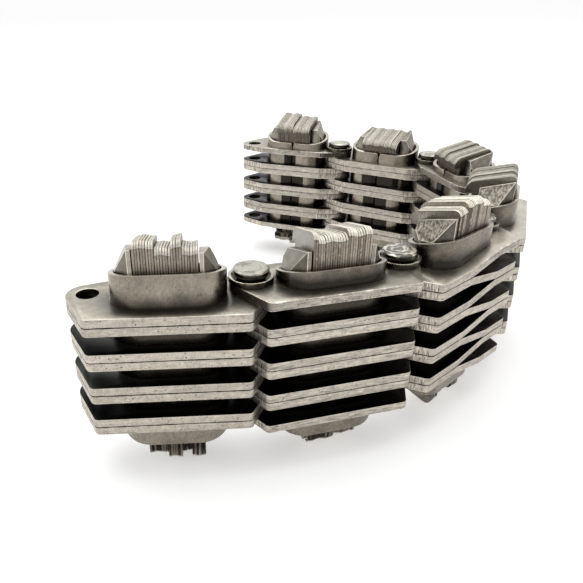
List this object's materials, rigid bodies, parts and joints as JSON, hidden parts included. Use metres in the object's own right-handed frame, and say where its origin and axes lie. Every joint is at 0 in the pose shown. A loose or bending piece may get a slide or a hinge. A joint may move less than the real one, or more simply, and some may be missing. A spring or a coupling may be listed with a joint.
{
  "type": "variable speed chain",
  "caption": "Length of slat-type chain for a stepless cone-pulley drive: pinned links of layered plates, each with an oval sleeve full of sliding slats.",
  "frame": {"origin": "axis of link 1's open joint bore, at mid-width of the chain", "axes": "+Z along the joint pins, across the chain; +X along link 1 toward its pin; the chain curls toward +Y"},
  "size_m": [0.0922, 0.1087, 0.041],
  "materials": {
    "plate_steel": "bare stamped steel, satin faces, lighter cut edges",
    "sleeve_steel": "bare rolled strip, satin, oil film",
    "slat_steel": "hardened thin steel, fine ground ends",
    "block_steel": "bare steel, sheared and rough end faces",
    "pin_steel": "hardened pin with bright riveted heads",
    "washer_steel": "dark oily steel"
  },
  "bodies": {
    "link_1": {"link_1_plates": "plate_steel", "link_1_sleeve": "sleeve_steel", "link_1_lead_block": "block_steel", "link_1_trail_block": "block_steel"},
    "link_2": {"link_2_plates": "plate_steel", "link_2_sleeve": "sleeve_steel", "link_2_lead_block": "block_steel", "link_2_trail_block": "block_steel"},
    "link_3": {"link_3_plates": "plate_steel", "link_3_sleeve": "sleeve_steel", "link_3_lead_block": "block_steel", "link_3_trail_block": "block_steel"},
    "link_4": {"link_4_plates": "plate_steel", "link_4_sleeve": "sleeve_steel", "link_4_lead_block": "block_steel", "link_4_trail_block": "block_steel"},
    "link_5": {"link_5_plates": "plate_steel", "link_5_sleeve": "sleeve_steel", "link_5_lead_block": "block_steel", "link_5_trail_block": "block_steel"},
    "link_6": {"link_6_plates": "plate_steel", "link_6_sleeve": "sleeve_steel", "link_6_lead_block": "block_steel", "link_6_trail_block": "block_steel"},
    "link_7": {"link_7_plates": "plate_steel", "link_7_sleeve": "sleeve_steel", "link_7_lead_block": "block_steel", "link_7_trail_block": "block_steel"},
    "link_1_raised_slats": {"link_1_slats_raised": "slat_steel"},
    "link_1_lowered_slats": {"link_1_slats_lowered": "slat_steel"},
    "link_2_raised_slats": {"link_2_slats_raised": "slat_steel"},
    "link_2_lowered_slats": {"link_2_slats_lowered": "slat_steel"},
    "link_3_raised_slats": {"link_3_slats_raised": "slat_steel"},
    "link_3_lowered_slats": {"link_3_slats_lowered": "slat_steel"},
    "link_4_raised_slats": {"link_4_slats_raised": "slat_steel"},
    "link_4_lowered_slats": {"link_4_slats_lowered": "slat_steel"},
    "link_5_raised_slats": {"link_5_slats_raised": "slat_steel"},
    "link_5_lowered_slats": {"link_5_slats_lowered": "slat_steel"},
    "link_6_raised_slats": {"link_6_slats_raised": "slat_steel"},
    "link_6_lowered_slats": {"link_6_slats_lowered": "slat_steel"},
    "link_7_raised_slats": {"link_7_slats_raised": "slat_steel"},
    "link_7_lowered_slats": {"link_7_slats_lowered": "slat_steel"},
    "joint_pin_1": {"pin_1": "pin_steel", "pin_1_washers": "washer_steel"},
    "joint_pin_2": {"pin_2": "pin_steel", "pin_2_washers": "washer_steel"},
    "joint_pin_3": {"pin_3": "pin_steel", "pin_3_washers": "washer_steel"},
    "joint_pin_4": {"pin_4": "pin_steel", "pin_4_washers": "washer_steel"},
    "joint_pin_5": {"pin_5": "pin_steel", "pin_5_washers": "washer_steel"},
    "joint_pin_6": {"pin_6": "pin_steel", "pin_6_washers": "washer_steel"}
  },
  "joints": [
    {"name": "bend_1", "type": "hinge", "parent": "link_1", "child": "link_2", "pos_m": [0.025, 0, 0], "axis": [0, 0, 1], "range_deg": [-11.7, 33.3]},
    {"name": "bend_2", "type": "hinge", "parent": "link_2", "child": "link_3", "pos_m": [0.04948, 0.00507, 0], "axis": [0, 0, 1], "range_deg": [-26, 19]},
    {"name": "bend_3", "type": "hinge", "parent": "link_3", "child": "link_4", "pos_m": [0.06926, 0.02036, 0], "axis": [0, 0, 1], "range_deg": [-25.2, 19.8]},
    {"name": "bend_4", "type": "hinge", "parent": "link_4", "child": "link_5", "pos_m": [0.08065, 0.04261, 0], "axis": [0, 0, 1], "range_deg": [-36.8, 8.2]},
    {"name": "bend_5", "type": "hinge", "parent": "link_5", "child": "link_6", "pos_m": [0.07644, 0.06726, 0], "axis": [0, 0, 1], "range_deg": [-44.4, 0.6]},
    {"name": "bend_6", "type": "hinge", "parent": "link_6", "child": "link_7", "pos_m": [0.05619, 0.08192, 0], "axis": [0, 0, 1], "range_deg": [-9.9, 35.1]},
    {"name": "link_1_raised_slat_slide", "type": "slide", "parent": "link_1", "child": "link_1_raised_slats", "axis": [0, 0, 1], "range_m": [-0.00237, 0.00088]},
    {"name": "link_1_lowered_slat_slide", "type": "slide", "parent": "link_1", "child": "link_1_lowered_slats", "axis": [0, 0, 1], "range_m": [-0.00127, 0.00198]},
    {"name": "link_2_raised_slat_slide", "type": "slide", "parent": "link_2", "child": "link_2_raised_slats", "axis": [0, 0, 1], "range_m": [-0.0032, 0.00005]},
    {"name": "link_2_lowered_slat_slide", "type": "slide", "parent": "link_2", "child": "link_2_lowered_slats", "axis": [0, 0, 1], "range_m": [-0.00265, 0.0006]},
    {"name": "link_3_raised_slat_slide", "type": "slide", "parent": "link_3", "child": "link_3_raised_slats", "axis": [0, 0, 1], "range_m": [-0.00314, 0.0001]},
    {"name": "link_3_lowered_slat_slide", "type": "slide", "parent": "link_3", "child": "link_3_lowered_slats", "axis": [0, 0, 1], "range_m": [-0.00227, 0.00098]},
    {"name": "link_4_raised_slat_slide", "type": "slide", "parent": "link_4", "child": "link_4_raised_slats", "axis": [0, 0, 1], "range_m": [-0.00219, 0.00105]},
    {"name": "link_4_lowered_slat_slide", "type": "slide", "parent": "link_4", "child": "link_4_lowered_slats", "axis": [0, 0, 1], "range_m": [-0.00197, 0.00127]},
    {"name": "link_5_raised_slat_slide", "type": "slide", "parent": "link_5", "child": "link_5_raised_slats", "axis": [0, 0, 1], "range_m": [-0.00139, 0.00186]},
    {"name": "link_5_lowered_slat_slide", "type": "slide", "parent": "link_5", "child": "link_5_lowered_slats", "axis": [0, 0, 1], "range_m": [-0.00114, 0.00211]},
    {"name": "link_6_raised_slat_slide", "type": "slide", "parent": "link_6", "child": "link_6_raised_slats", "axis": [0, 0, 1], "range_m": [-0.00064, 0.00261]},
    {"name": "link_6_lowered_slat_slide", "type": "slide", "parent": "link_6", "child": "link_6_lowered_slats", "axis": [0, 0, 1], "range_m": [-0.00038, 0.00288]},
    {"name": "link_7_raised_slat_slide", "type": "slide", "parent": "link_7", "child": "link_7_raised_slats", "axis": [0, 0, 1], "range_m": [-0.00237, 0.00088]},
    {"name": "link_7_lowered_slat_slide", "type": "slide", "parent": "link_7", "child": "link_7_lowered_slats", "axis": [0, 0, 1], "range_m": [-0.00176, 0.00148]},
    {"name": "pin_1_spin", "type": "hinge", "parent": "link_2", "child": "joint_pin_1", "pos_m": [0.025, 0, 0], "axis": [0, 0, 1], "continuous": true},
    {"name": "pin_2_spin", "type": "hinge", "parent": "link_2", "child": "joint_pin_2", "pos_m": [0.04948, 0.00507, 0], "axis": [0, 0, 1], "continuous": true},
    {"name": "pin_3_spin", "type": "hinge", "parent": "link_3", "child": "joint_pin_3", "pos_m": [0.06926, 0.02036, 0], "axis": [0, 0, 1], "continuous": true},
    {"name": "pin_4_spin", "type": "hinge", "parent": "link_5", "child": "joint_pin_4", "pos_m": [0.08065, 0.04261, 0], "axis": [0, 0, 1], "continuous": true},
    {"name": "pin_5_spin", "type": "hinge", "parent": "link_5", "child": "joint_pin_5", "pos_m": [0.07644, 0.06726, 0], "axis": [0, 0, 1], "continuous": true},
    {"name": "pin_6_spin", "type": "hinge", "parent": "link_7", "child": "joint_pin_6", "pos_m": [0.05619, 0.08192, 0], "axis": [0, 0, 1], "continuous": true}
  ]
}
